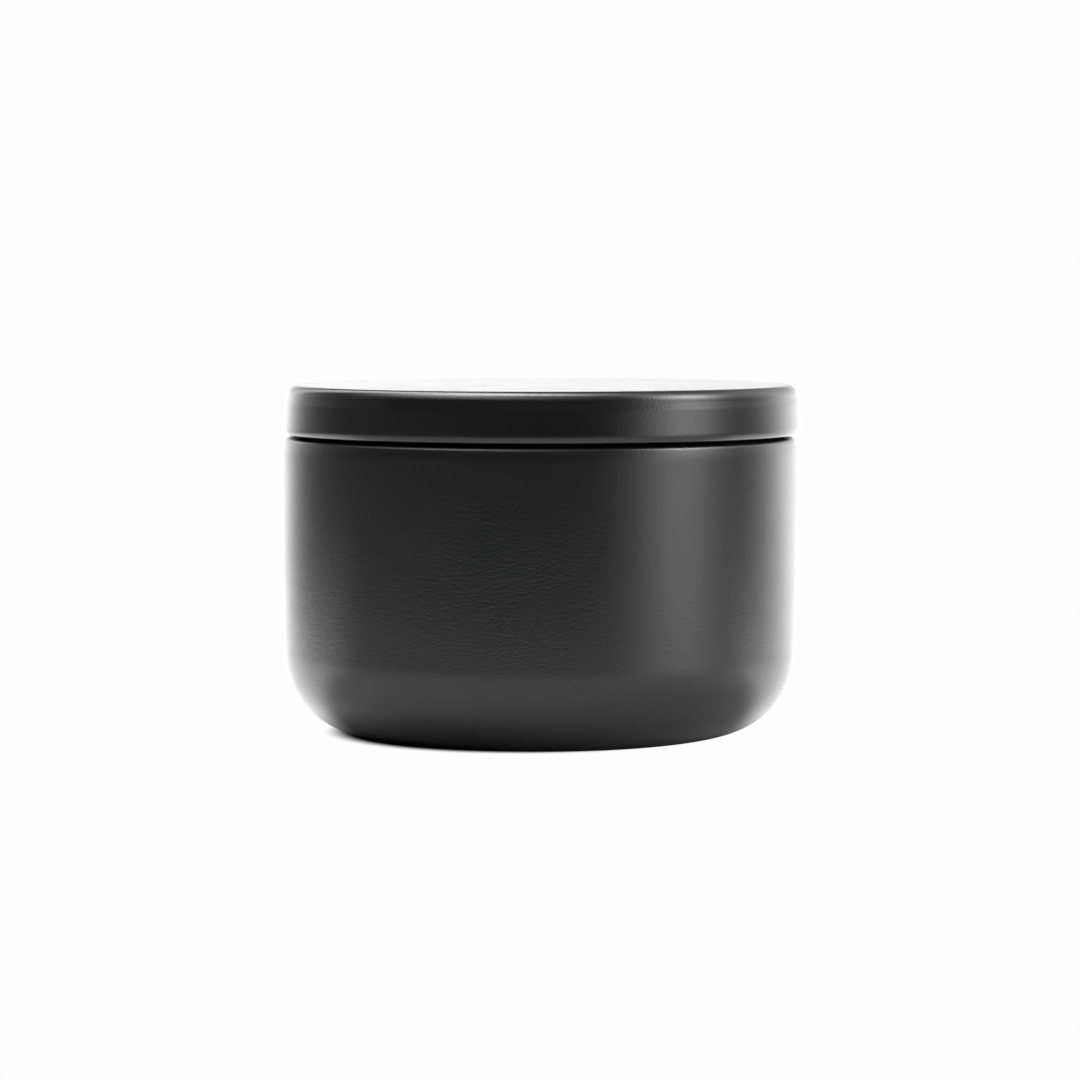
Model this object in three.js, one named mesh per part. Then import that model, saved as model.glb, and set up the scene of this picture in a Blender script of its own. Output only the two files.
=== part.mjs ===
// Candle tin: a drawn seamless steel tin with a lift-off lid, and the poured candle that it holds.
// Units are millimetres, +Z is up, and the origin is the centre of the base on the surface it stands on.
// Every piece is turned about the Z axis, so each one is a closed profile of (radius, height) points.

import * as THREE from "three";

// ---- Driving dimensions -------------------------------------------------------------------------

const SHEET = 0.28; // tinplate thickness of the tin and the lid
const TIN_RADIUS = 38.5; // outside of the tin's wall
const TOTAL_HEIGHT = 52.3; // standing plane to the lid's flat top

const CORNER_RADIUS = 12.4; // outside radius between base and wall
const PANEL_RADIUS = 22.4; // recessed centre panel of the base
const PANEL_RISE = 0.8; // how far the panel stands above the standing ring
const PANEL_RAMP = 1.2; // width of the slope between panel and standing ring

const SHOULDER_TOP = 44.5; // height of the step that the neck rises from
const SHOULDER_LEAN = 12; // degrees that the wall leans in where the shoulder's tight corner starts
const LEAN_RADIUS = 7.7; // large radius of that lean
const SHOULDER_RADIUS = 0.85;
const NECK_RADIUS = 36.7; // outside of the neck that the lid slides over
const NECK_FILLET = 0.7;
const RIM_CURL = 0.9; // outside radius of the rim's inward curl
const RIM_CLEARANCE = 0.22; // between the curled rim and the lid's underside

const LID_RADIUS = 38.8; // outside of the lid at its hem
const LID_TAPER = 0.2; // how much narrower the lid is at its top corner
const LID_BOTTOM = 44.97; // lowest point of the hem
const LID_CORNER = 1.6;
const HEM_WIDTH = 0.55; // how far the hem draws in below the skirt
const HEM_HEIGHT = 1.15; // over this height
const HEM_FLAT = 0.3; // flat underside of the hem
const HEM_CURL = 0.7; // outside radius of the curl that closes the hem inside

const TOUCH_GAP = 0.3; // between pieces that touch in the real tin
const PRESS_GAP = 0.1; // between flat faces that are glued together

const WAX_TOP = 37.5; // fill level
const STICKER = { radius: 10, height: 0.9 }; // foam disc under the sustainer
const SUSTAINER = { radius: 10, sheet: 0.3, neckRadius: 1.7, neckHeight: 6 };
const WICK = { radius: 1.1, aboveWax: 6.5 };

const ROUND = 60; // facets round the large pieces
const ROUND_SMALL = 36; // facets round the sticker and the sustainer
const ROUND_WICK = 12;

// ---- Heights that follow from them --------------------------------------------------------------

const PANEL_TOP = PANEL_RISE + SHEET; // inside face of the base panel
const STICKER_BOTTOM = PANEL_TOP + PRESS_GAP;
const SUSTAINER_BOTTOM = STICKER_BOTTOM + STICKER.height + PRESS_GAP;
const DISC_TOP = SUSTAINER_BOTTOM + SUSTAINER.sheet;
const SUSTAINER_TOP = DISC_TOP + SUSTAINER.neckHeight;
const RIM_TOP = TOTAL_HEIGHT - SHEET - RIM_CLEARANCE;

// ---- Materials ----------------------------------------------------------------------------------

const blackPaint = () => new THREE.MeshStandardMaterial({ color: 0x1a1a1b, roughness: 0.42, metalness: 0 });
const soyWax = () => new THREE.MeshStandardMaterial({ color: 0xf1ead8, roughness: 0.55, metalness: 0 });
const cotton = () => new THREE.MeshStandardMaterial({ color: 0xf2eee2, roughness: 0.95, metalness: 0 });
const tinplate = () => new THREE.MeshStandardMaterial({ color: 0xc9c9c6, roughness: 0.3, metalness: 1 });
const foam = () => new THREE.MeshStandardMaterial({ color: 0xf4f4f0, roughness: 0.9, metalness: 0 });

// ---- Profile helpers ----------------------------------------------------------------------------

const point = (radius, height) => new THREE.Vector2(radius, height);

// Points along an arc about a centre, from one angle to another in degrees (0 is outward, 90 is up).
// The arc is round unless its half height is given.
function arc(centre, radius, fromDegrees, toDegrees, steps, halfHeight = radius) {
  return Array.from({ length: steps + 1 }, (_, step) => {
    const angle = THREE.MathUtils.degToRad(fromDegrees + ((toDegrees - fromDegrees) * step) / steps);
    return point(centre.x + radius * Math.cos(angle), centre.y + halfHeight * Math.sin(angle));
  });
}

// Shifts a path sideways by a distance, to the right of its direction of travel, with mitred corners.
function offsetPath(path, distance) {
  return path.map((here, index) => {
    const before = path[Math.max(index - 1, 0)];
    const after = path[Math.min(index + 1, path.length - 1)];
    const arriving = here.clone().sub(before).normalize();
    const leaving = after.clone().sub(here).normalize();
    const along = arriving.clone().add(leaving).normalize();
    const reach = distance / Math.max(along.dot(index === 0 ? leaving : arriving), 0.5);
    return point(here.x + along.y * reach, here.y - along.x * reach);
  });
}

// Gives a middle line the thickness of a sheet: out along its right side and back along its left.
function sheetProfile(middleLine, thickness) {
  const right = offsetPath(middleLine, thickness / 2);
  const left = offsetPath(middleLine, -thickness / 2);
  return [...right, ...left.reverse()];
}

// Turns a profile about the Z axis. A profile that doesn't end on the axis is closed on itself.
function turned(name, profile, facets, material) {
  const last = profile[profile.length - 1];
  const onAxis = profile[0].x === 0 && last.x === 0;
  const outline = onAxis ? profile : [...profile, profile[0].clone()];
  const geometry = new THREE.LatheGeometry(outline, facets);
  geometry.rotateX(Math.PI / 2);
  const mesh = new THREE.Mesh(geometry, material);
  mesh.name = name;
  return mesh;
}

// ---- Pieces -------------------------------------------------------------------------------------

// One sheet: recessed base panel, standing ring, large corner, wall, shoulder, neck and curled rim.
function tinBody() {
  const half = SHEET / 2;
  const cornerCentre = point(TIN_RADIUS - CORNER_RADIUS, CORNER_RADIUS);
  const lean = THREE.MathUtils.degToRad(SHOULDER_LEAN);
  const between = LEAN_RADIUS - SHOULDER_RADIUS;
  const shoulderCentre = point(
    TIN_RADIUS - LEAN_RADIUS + between * Math.cos(lean),
    SHOULDER_TOP - SHOULDER_RADIUS,
  );
  const leanCentre = point(TIN_RADIUS - LEAN_RADIUS, shoulderCentre.y - between * Math.sin(lean));
  const filletCentre = point(NECK_RADIUS + NECK_FILLET, SHOULDER_TOP + NECK_FILLET);
  const curlCentre = point(NECK_RADIUS - RIM_CURL, RIM_TOP - RIM_CURL);
  const middleLine = [
    point(0, PANEL_RISE + half),
    point(PANEL_RADIUS, PANEL_RISE + half),
    point(PANEL_RADIUS + PANEL_RAMP, half),
    ...arc(cornerCentre, CORNER_RADIUS - half, 270, 360, 8),
    ...arc(leanCentre, LEAN_RADIUS - half, 0, SHOULDER_LEAN, 2),
    ...arc(shoulderCentre, SHOULDER_RADIUS - half, SHOULDER_LEAN, 90, 4).slice(1),
    ...arc(filletCentre, NECK_FILLET + half, 270, 180, 3),
    ...arc(curlCentre, RIM_CURL - half, 0, 270, 7),
  ];
  return turned("tin_body", sheetProfile(middleLine, SHEET), ROUND, blackPaint());
}

// One sheet: flat top, rounded corner, skirt that widens downwards, and a hem curled inwards.
function lid() {
  const half = SHEET / 2;
  const cornerCentre = point(LID_RADIUS - LID_TAPER - LID_CORNER, TOTAL_HEIGHT - LID_CORNER);
  const hemCentre = point(LID_RADIUS - HEM_WIDTH, LID_BOTTOM + HEM_HEIGHT);
  const curlCentre = point(hemCentre.x - HEM_FLAT, LID_BOTTOM + HEM_CURL);
  const middleLine = [
    point(0, TOTAL_HEIGHT - half),
    ...arc(cornerCentre, LID_CORNER - half, 90, 0, 4),
    ...arc(hemCentre, HEM_WIDTH - half, 0, -90, 4, HEM_HEIGHT - half),
    ...arc(curlCentre, HEM_CURL - half, -90, -270, 6),
  ];
  return turned("lid", sheetProfile(middleLine, SHEET), ROUND, blackPaint());
}

// The cast candle fills the tin up to the fill level, round the wick, the sustainer and the sticker.
function wax() {
  const skin = SHEET + TOUCH_GAP;
  const cornerCentre = point(TIN_RADIUS - CORNER_RADIUS, CORNER_RADIUS);
  const wickBore = WICK.radius + TOUCH_GAP;
  const neckBore = SUSTAINER.neckRadius + TOUCH_GAP;
  const discBore = SUSTAINER.radius + TOUCH_GAP;
  const profile = [
    point(discBore, PANEL_TOP + TOUCH_GAP),
    point(PANEL_RADIUS, PANEL_TOP + TOUCH_GAP),
    point(PANEL_RADIUS + PANEL_RAMP, skin),
    ...arc(cornerCentre, CORNER_RADIUS - skin, 270, 360, 8),
    point(TIN_RADIUS - skin, WAX_TOP),
    point(wickBore, WAX_TOP),
    point(wickBore, SUSTAINER_TOP + TOUCH_GAP),
    point(neckBore, SUSTAINER_TOP + TOUCH_GAP),
    point(neckBore, DISC_TOP + TOUCH_GAP),
    point(discBore, DISC_TOP + TOUCH_GAP),
  ];
  return turned("wax", profile, ROUND, soyWax());
}

// The cotton wick stands in the sustainer's neck and ends trimmed above the wax.
function wick() {
  const profile = [
    point(0, SUSTAINER_BOTTOM),
    point(WICK.radius, SUSTAINER_BOTTOM),
    point(WICK.radius, WAX_TOP + WICK.aboveWax),
    point(0, WAX_TOP + WICK.aboveWax),
  ];
  return turned("wick", profile, ROUND_WICK, cotton());
}

// A stamped disc with a drawn neck that grips the wick.
function wickSustainer() {
  const boreRadius = SUSTAINER.neckRadius - SUSTAINER.sheet;
  const profile = [
    point(boreRadius, SUSTAINER_BOTTOM),
    point(SUSTAINER.radius, SUSTAINER_BOTTOM),
    point(SUSTAINER.radius, DISC_TOP),
    point(SUSTAINER.neckRadius, DISC_TOP),
    point(SUSTAINER.neckRadius, SUSTAINER_TOP),
    point(boreRadius, SUSTAINER_TOP),
  ];
  return turned("wick_sustainer", profile, ROUND_SMALL, tinplate());
}

// The double-sided foam disc that holds the sustainer to the base.
function wickSticker() {
  const top = STICKER_BOTTOM + STICKER.height;
  const profile = [
    point(0, STICKER_BOTTOM),
    point(STICKER.radius, STICKER_BOTTOM),
    point(STICKER.radius, top),
    point(0, top),
  ];
  return turned("wick_sticker", profile, ROUND_SMALL, foam());
}

// ---- Assembly -----------------------------------------------------------------------------------

const candle = new THREE.Group();
candle.add(wax(), wick(), wickSustainer(), wickSticker());

const group = new THREE.Group();
group.add(tinBody(), lid(), candle);

export default group;
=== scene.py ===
"""Candle tin: a drawn black tin with a lift-off lid, and the poured candle that it holds.

Every length in this file is in millimetres until a mesh, a light or the camera is made, which is in metres.
The tin stands on the plane of height 0, and its axis is the Z axis.
"""

import logging
import math
from dataclasses import dataclass
from enum import Enum
from typing import Any, Optional, Union

import bpy
import numpy as np
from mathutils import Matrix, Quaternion, Vector

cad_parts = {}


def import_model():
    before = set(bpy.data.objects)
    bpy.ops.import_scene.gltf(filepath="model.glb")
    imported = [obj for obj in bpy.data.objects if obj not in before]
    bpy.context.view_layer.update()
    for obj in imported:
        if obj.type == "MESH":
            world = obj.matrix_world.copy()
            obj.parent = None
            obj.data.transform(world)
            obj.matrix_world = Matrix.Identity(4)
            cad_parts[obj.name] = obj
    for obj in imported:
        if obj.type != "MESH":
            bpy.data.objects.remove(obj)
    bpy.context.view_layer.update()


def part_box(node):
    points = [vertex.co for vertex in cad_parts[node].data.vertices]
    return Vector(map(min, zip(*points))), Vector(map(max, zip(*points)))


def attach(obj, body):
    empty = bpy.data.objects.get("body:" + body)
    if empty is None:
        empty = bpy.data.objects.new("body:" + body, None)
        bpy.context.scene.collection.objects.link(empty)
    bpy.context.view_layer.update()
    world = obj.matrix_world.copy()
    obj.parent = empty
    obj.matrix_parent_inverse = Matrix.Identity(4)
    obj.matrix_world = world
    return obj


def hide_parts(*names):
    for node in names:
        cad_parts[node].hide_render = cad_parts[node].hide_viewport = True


LOG = logging.getLogger("candle_tin")
MM = 0.001  # one millimetre, in metres
ROUND = 256  # faces round the large pieces
ROUND_SMALL = 144  # faces round the sustainer and the sticker
SEED = 20
TINY = 1e-6  # millimetres that count as nothing


# ---- Outlines -----------------------------------------------------------------------------------


def arc(
    centre: tuple[float, float], radii: tuple[float, float], start: float, end: float, steps: int
) -> np.ndarray:
    """Points along an elliptic arc in the (radius, height) plane.

    Formula: centre plus (radii[0] * cos(angle), radii[1] * sin(angle)), the angle running evenly.

    Args:
        centre: Radius and height of the arc's centre.
        radii: Half axes along the radius and along the height.
        start: First angle in degrees, where 0 points outward and 90 points up.
        end: Last angle in degrees.
        steps: Number of steps between the two.

    Returns:
        An array of steps + 1 points.
    """
    angle = np.radians(np.linspace(start, end, steps + 1))
    return np.stack([centre[0] + radii[0] * np.cos(angle), centre[1] + radii[1] * np.sin(angle)], axis=1)


def straight(start: tuple[float, float], end: tuple[float, float], steps: int) -> np.ndarray:
    """Points along a straight line that lie closer together towards its ends.

    Formula: start + (end - start) * (1 - cos(pi * s)) / 2, with s running evenly from 0 to 1. The close
    points keep a flat face flat in its shading where it meets a curve.

    Args:
        start: Radius and height of the first point.
        end: Radius and height of the last point.
        steps: Number of steps between the two.

    Returns:
        An array of steps + 1 points.
    """
    share = (1 - np.cos(np.pi * np.linspace(0, 1, steps + 1))) / 2
    return np.array(start) + share[:, None] * (np.array(end) - np.array(start))


def joined(*stretches: np.ndarray) -> np.ndarray:
    """Joins stretches of an outline end to end and drops the points that they share.

    Args:
        stretches: Arrays of points, each starting where the one before it ends.

    Returns:
        One array of points with no two neighbours alike.
    """
    points = np.concatenate(stretches)
    step = np.linalg.norm(np.diff(points, axis=0), axis=1)
    return points[np.concatenate([[True], step > TINY])]


def shifted(line: np.ndarray, distance: float) -> np.ndarray:
    """The line parallel to another one, to the right of its direction of travel.

    Formula: each point moves along the right-hand normal of the mean of its two neighbouring directions,
    by the distance over the cosine of half the turn between them.

    Args:
        line: Points in the (radius, height) plane.
        distance: How far the line moves; a negative distance moves it to the left.

    Returns:
        An array of as many points.
    """
    ahead = np.diff(line, axis=0)
    ahead /= np.linalg.norm(ahead, axis=1)[:, None]
    arriving = np.concatenate([ahead[:1], ahead])
    leaving = np.concatenate([ahead, ahead[-1:]])
    along = arriving + leaving
    along /= np.linalg.norm(along, axis=1)[:, None]
    reach = distance / np.sum(along * leaving, axis=1)
    return line + reach[:, None] * np.stack([along[:, 1], -along[:, 0]], axis=1)


def round_tip(first: np.ndarray, last: np.ndarray, steps: int = 6) -> np.ndarray:
    """The half circle that closes a sheet's cut edge, bulging to the right of the way from first to last.

    Args:
        first: Point where the half circle starts.
        last: Point where it ends.
        steps: Number of steps along it.

    Returns:
        The points between the two, without either.
    """
    centre = (first + last) / 2
    spoke = first - centre
    angle = np.pi * np.arange(1, steps) / steps
    turned = np.stack([-spoke[1], spoke[0]])
    return centre + np.cos(angle)[:, None] * spoke + np.sin(angle)[:, None] * turned


# ---- Meshes -------------------------------------------------------------------------------------


@dataclass
class Skin:
    """One closed surface on a grid: rows along an outline, columns round it.

    Attributes:
        points: Array of (rows, columns, 3) positions in millimetres.
        slots: Material index of the faces between a row and the next.
        ring: Whether the last row joins the first one. Otherwise the first and last rows are drawn
            together to a point, on the axis or in the middle of a cap.
        uv: Optional (rows, columns + 1, 2) pattern coordinates in millimetres.
    """

    points: np.ndarray
    slots: np.ndarray
    ring: bool = False
    uv: Optional[np.ndarray] = None

    def quads(self) -> np.ndarray:
        """Corner indices of the grid's faces, which face outwards.

        Returns:
            (rows, columns, 4) indices into the flattened grid, with one row fewer unless it is a ring.
        """
        rows, columns = self.points.shape[:2]
        here = np.arange(rows if self.ring else rows - 1)[:, None]
        above = (here + 1) % rows
        column = np.arange(columns)[None, :]
        beside = (column + 1) % columns
        here, above = here * columns, above * columns
        return np.stack([here + column, here + beside, above + beside, above + column], axis=-1)


def make_piece(name: str, skins: list[Skin], finishes: list[bpy.types.Material]) -> bpy.types.Object:
    """Makes one object of closed surfaces, welding each pole into a single vertex.

    Args:
        name: The object's name.
        skins: The surfaces.
        finishes: Materials, in the order of the skins' slots.

    Returns:
        The object, at the origin, with its place in its mesh.
    """
    vertices, faces, slots, uvs = [], [], [], []
    base = 0
    for skin in skins:
        rows, columns = skin.points.shape[:2]
        count = rows * columns
        target = np.arange(count)
        if not skin.ring:
            target[:columns] = 0
            target[-columns:] = count - columns
        quads = skin.quads()
        vertices.append(skin.points.reshape(-1, 3))
        faces.append(base + target[quads.reshape(-1, 4)])
        slots.append(np.repeat(skin.slots[: len(quads)], columns))
        if skin.uv is not None:
            uvs.append(corner_uv(skin.uv))
        base += count
    corners, lengths = without_repeats(np.concatenate(faces))
    used, compact = np.unique(corners, return_inverse=True)
    mesh = bpy.data.meshes.new(name)
    mesh.vertices.add(len(used))
    mesh.vertices.foreach_set("co", (np.concatenate(vertices)[used] * MM).astype(np.float32).ravel())
    mesh.loops.add(len(corners))
    mesh.loops.foreach_set("vertex_index", compact.astype(np.int32).ravel())
    mesh.polygons.add(len(lengths))
    mesh.polygons.foreach_set("loop_start", np.concatenate([[0], np.cumsum(lengths)[:-1]]).astype(np.int32))
    mesh.polygons.foreach_set("material_index", np.concatenate(slots).astype(np.int32))
    if uvs:
        put_uv(mesh, np.concatenate(uvs), np.concatenate(faces))
    for finish in finishes:
        mesh.materials.append(finish)
    mesh.update(calc_edges=True)
    mesh.validate()
    mesh.shade_smooth()
    made = bpy.data.objects.new(name, mesh)
    bpy.context.scene.collection.objects.link(made)
    return made


def without_repeats(faces: np.ndarray) -> tuple[np.ndarray, np.ndarray]:
    """Turns each quad whose corners meet at a pole into a triangle.

    Args:
        faces: An array of (faces, 4) vertex indices.

    Returns:
        The corners of all faces in one row, and the number of corners of each face.
    """
    keep = faces != np.roll(faces, 1, axis=1)
    return faces[keep], keep.sum(axis=1)


def corner_uv(uv: np.ndarray) -> np.ndarray:
    """Pattern coordinates of each face's four corners, in the order of Skin.quads."""
    corners = [uv[:-1, :-1], uv[:-1, 1:], uv[1:, 1:], uv[1:, :-1]]
    return np.stack(corners, axis=-2).reshape(-1, 4, 2)


def put_uv(mesh: bpy.types.Mesh, uvs: np.ndarray, faces: np.ndarray) -> None:
    """Writes pattern coordinates into the mesh's own UV map.

    Args:
        mesh: The mesh, whose loops run in the order of the faces.
        uvs: An array of (faces, 4, 2) coordinates.
        faces: The quads before their repeated corners were dropped.
    """
    keep = faces != np.roll(faces, 1, axis=1)
    layer = mesh.uv_layers.new(name="pattern")
    layer.data.foreach_set("uv", uvs[keep].astype(np.float32).ravel())


def revolved(outline: np.ndarray, slots: np.ndarray, ring: bool = False, columns: int = ROUND) -> Skin:
    """Turns an outline about the Z axis.

    Formula: x = radius * sin(angle), y = -radius * cos(angle), z = height.

    Args:
        outline: Points in the (radius, height) plane, with the solid on the left of the way along them.
            It may also be a (rows, columns, 2) array, for a shape that changes round the axis.
        slots: Material index of the faces after each point.
        ring: Whether the outline closes on itself instead of starting and ending on the axis.
        columns: Number of faces round the axis.

    Returns:
        The closed surface.
    """
    grid = outline if outline.ndim == 3 else np.repeat(outline[:, None, :], columns, axis=1)
    angle = turn_angles(grid.shape[1])[None, :]
    radius, height = grid[..., 0], grid[..., 1]
    return Skin(np.stack([radius * np.sin(angle), -radius * np.cos(angle), height], axis=-1), slots, ring)


def turn_angles(columns: int) -> np.ndarray:
    """Even angles once round the axis, in radians."""
    return np.arange(columns) * 2 * np.pi / columns


class Side(Enum):
    """Which side of a sheet's painted line its thickness lies on, seen along the line."""

    LEFT = 1
    RIGHT = -1


PAINTED, BARE = 0, 1


def sheet_skin(painted: np.ndarray, thickness: float, side: Side) -> Skin:
    """Gives a painted line the thickness of a sheet and turns it about the axis.

    The painted side takes material PAINTED. The other side and the rounded cut edge take BARE.

    Args:
        painted: The outer line, from the axis to the cut edge.
        thickness: The sheet's thickness.
        side: The side of the line that the sheet's thickness lies on.

    Returns:
        The closed shell.
    """
    bare = shifted(painted, -side.value * thickness)
    bare[0, 0] = 0.0
    forward, back = (painted, bare) if side is Side.LEFT else (bare, painted)
    tip = round_tip(forward[-1], back[-1])
    outline = np.concatenate([forward, tip, back[::-1]])
    slots = np.full(len(outline), BARE)
    start = 0 if side is Side.LEFT else len(forward) + len(tip)
    slots[start : start + len(painted) - 1] = PAINTED
    return revolved(outline, slots)


# ---- Shader maths -------------------------------------------------------------------------------

Value = Union[float, "Sock"]


class Sock:
    """A node's output in an expression: its operators add Math nodes."""

    def __init__(self, shader: "Shader", link: bpy.types.NodeSocket) -> None:
        """Wraps an output of a shader's node."""
        self.shader = shader
        self.link = link

    def _math(self, operation: str, first: Value, second: Value) -> "Sock":
        """Adds one Math node and returns its output."""
        return self.shader.node("ShaderNodeMath", {"operation": operation}, {0: first, 1: second})

    def __add__(self, other: Value) -> "Sock":
        """self + other."""
        return self._math("ADD", self, other)

    def __radd__(self, other: Value) -> "Sock":
        """other + self."""
        return self._math("ADD", other, self)

    def __sub__(self, other: Value) -> "Sock":
        """self - other."""
        return self._math("SUBTRACT", self, other)

    def __rsub__(self, other: Value) -> "Sock":
        """other - self."""
        return self._math("SUBTRACT", other, self)

    def __mul__(self, other: Value) -> "Sock":
        """self * other."""
        return self._math("MULTIPLY", self, other)

    def __pow__(self, other: Value) -> "Sock":
        """self ** other."""
        return self._math("POWER", self, other)


class Shader:
    """One material's nodes."""

    def __init__(self, tree: bpy.types.NodeTree) -> None:
        """Starts from an empty node tree."""
        self.tree = tree
        tree.nodes.clear()

    def feed(self, socket: bpy.types.NodeSocket, value: Any) -> None:
        """Links a node's input to an output, or sets it to a plain value.

        Args:
            socket: The input.
            value: The output or the plain value.
        """
        if isinstance(value, Sock):
            self.tree.links.new(value.link, socket)
        else:
            socket.default_value = value

    def node(
        self, kind: str, settings: dict[str, Any], inputs: dict[Any, Any], output: Any = 0
    ) -> Optional[Sock]:
        """Adds any node.

        Args:
            kind: The node's type.
            settings: Its properties by name.
            inputs: Values or links by socket name or number.
            output: Name or number of the output that is wanted.

        Returns:
            That output, or None where the node has none.
        """
        made = self.tree.nodes.new(kind)
        for name, value in settings.items():
            setattr(made, name, value)
        for name, value in inputs.items():
            self.feed(made.inputs[name], value)
        return Sock(self, made.outputs[output]) if len(made.outputs) else None

    def object_coordinates(self) -> Sock:
        """The place on the piece, in metres."""
        return self.node("ShaderNodeTexCoord", {}, {}, "Object")

    def pattern(self) -> Sock:
        """The piece's own pattern coordinates."""
        return self.node("ShaderNodeUVMap", {"uv_map": "pattern"}, {})

    def stretched(self, vector: Sock, scale: tuple[float, float, float]) -> Sock:
        """The vector times a scale along each axis."""
        return self.node("ShaderNodeMapping", {"vector_type": "POINT"}, {"Vector": vector, "Scale": scale})

    def axis_distance(self, vector: Sock) -> Sock:
        """Distance from the Z axis."""
        flat = self.stretched(vector, (1.0, 1.0, 0.0))
        return self.node("ShaderNodeVectorMath", {"operation": "LENGTH"}, {0: flat}, "Value")

    def height(self, vector: Sock) -> Sock:
        """The vector's Z part."""
        return self.node("ShaderNodeSeparateXYZ", {}, {0: vector}, "Z")

    def dot(self, vector: Sock, axis: Vector) -> Sock:
        """The vector's part along a fixed axis."""
        inputs = {0: vector, 1: tuple(axis)}
        return self.node("ShaderNodeVectorMath", {"operation": "DOT_PRODUCT"}, inputs, "Value")

    def grain(self, vector: Sock, size: float, detail: float = 2.0, roughness: float = 0.5) -> Sock:
        """Soft noise from about 0 to 1 whose blotches are about size millimetres wide."""
        inputs = {"Vector": vector, "Scale": 1 / (size * MM), "Detail": detail, "Roughness": roughness}
        return self.node("ShaderNodeTexNoise", {"noise_dimensions": "3D"}, inputs)

    def ease(self, value: Sock, low: float, high: float) -> Sock:
        """0 below low, 1 above high and a smooth step between them."""
        settings = {"interpolation_type": "SMOOTHSTEP", "clamp": True}
        return self.node("ShaderNodeMapRange", settings, {"Value": value, "From Min": low, "From Max": high})

    def blend(self, factor: Value, first: Any, second: Any) -> Sock:
        """Mixes two colours.

        Args:
            factor: Share of the second colour, from 0 to 1.
            first: Colour where the factor is 0.
            second: Colour where the factor is 1.

        Returns:
            The mixed colour.
        """
        mix = self.node("ShaderNodeMix", {"data_type": "RGBA", "clamp_factor": True}, {}).link.node
        for name, value in {"Factor": factor, "A": first, "B": second}.items():
            self.feed(next(socket for socket in mix.inputs if socket.name == name and socket.enabled), value)
        return Sock(self, next(socket for socket in mix.outputs if socket.enabled))

    def bumped(self, height: Sock, depth: float) -> Sock:
        """A normal from a height of 0 to 1, for a relief of that depth in millimetres."""
        return self.node("ShaderNodeBump", {}, {"Height": height, "Distance": depth * MM, "Strength": 1.0})


def new_finish(name: str) -> tuple[bpy.types.Material, Shader]:
    """Makes an empty node material.

    Args:
        name: The material's name.

    Returns:
        The material and its shader.
    """
    material = bpy.data.materials.new(name)
    material.use_nodes = True
    return material, Shader(material.node_tree)


def surface(shader: Shader, inputs: dict[str, Any]) -> None:
    """Ends a material with a Principled surface that has these inputs."""
    bsdf = shader.node("ShaderNodeBsdfPrincipled", {}, inputs)
    shader.node("ShaderNodeOutputMaterial", {}, {"Surface": bsdf})


def grey(value: float) -> tuple[float, float, float, float]:
    """An opaque grey."""
    return (value, value, value, 1.0)


# ---- Finishes -----------------------------------------------------------------------------------


class Drawing(Enum):
    """Which way the press and the spray left their faint marks."""

    UP_THE_WALL = 1
    ROUND_THE_AXIS = 2


@dataclass(frozen=True)
class SatinBlack:
    """Satin black paint over drawn tinplate, with fine orange peel and faint draw marks.

    Attributes:
        name: The material's name.
        roughness: Mean roughness of the paint.
        marks: The direction of the draw marks.
        tone: Colour of the paint.
        peel: Depth of the orange peel.
        peel_size: Width of its bumps.
        peel_gloss: How much the roughness changes with them.
        mark_depth: Depth of the draw marks.
        mark_size: Width of the draw marks.
        patch_size: Width of the slow changes in gloss.
        uneven_gloss: How much the roughness changes with marks and patches.
        up_squeeze: Scale of the marks' pattern along the axis, where they run up the wall.
        round_squeeze: Scale across the axis, where they run round it.
    """

    name: str
    roughness: float
    marks: Drawing
    tone: float = 0.0062
    peel: float = 0.026
    peel_size: float = 0.4
    peel_gloss: float = 0.06
    mark_depth: float = 0.003
    mark_size: float = 0.5
    patch_size: float = 7.0
    uneven_gloss: float = 0.03
    up_squeeze: float = 0.04
    round_squeeze: float = 0.02

    def mark_coordinates(self, shader: Shader) -> Sock:
        """Coordinates that change quickly across the draw marks and slowly along them.

        Args:
            shader: The material's shader.

        Returns:
            A vector in metres.
        """
        place = shader.object_coordinates()
        if self.marks is Drawing.UP_THE_WALL:
            return shader.stretched(place, (1.0, 1.0, self.up_squeeze))
        across = shader.axis_distance(place) + shader.height(place)
        slow = shader.stretched(place, (self.round_squeeze, self.round_squeeze, 0.0))
        quick = shader.node("ShaderNodeCombineXYZ", {}, {"Z": across})
        return shader.node("ShaderNodeVectorMath", {"operation": "ADD"}, {0: slow, 1: quick})

    def make(self) -> bpy.types.Material:
        """Builds the material.

        Returns:
            The material.
        """
        material, shader = new_finish(self.name)
        place = shader.object_coordinates()
        peel = shader.grain(place, self.peel_size, detail=3.0, roughness=0.7)
        marks = shader.grain(self.mark_coordinates(shader), self.mark_size)
        patches = shader.grain(place, self.patch_size, detail=3.0)
        relief = peel + marks * (self.mark_depth / self.peel)
        uneven = (patches - 0.5) * self.uneven_gloss + (marks - 0.5) * self.uneven_gloss
        gloss = self.roughness + uneven + (peel - 0.5) * self.peel_gloss
        surface(
            shader,
            {
                "Base Color": grey(self.tone),
                "Roughness": gloss,
                "IOR": 1.5,
                "Normal": shader.bumped(relief, self.peel),
            },
        )
        return material


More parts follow.
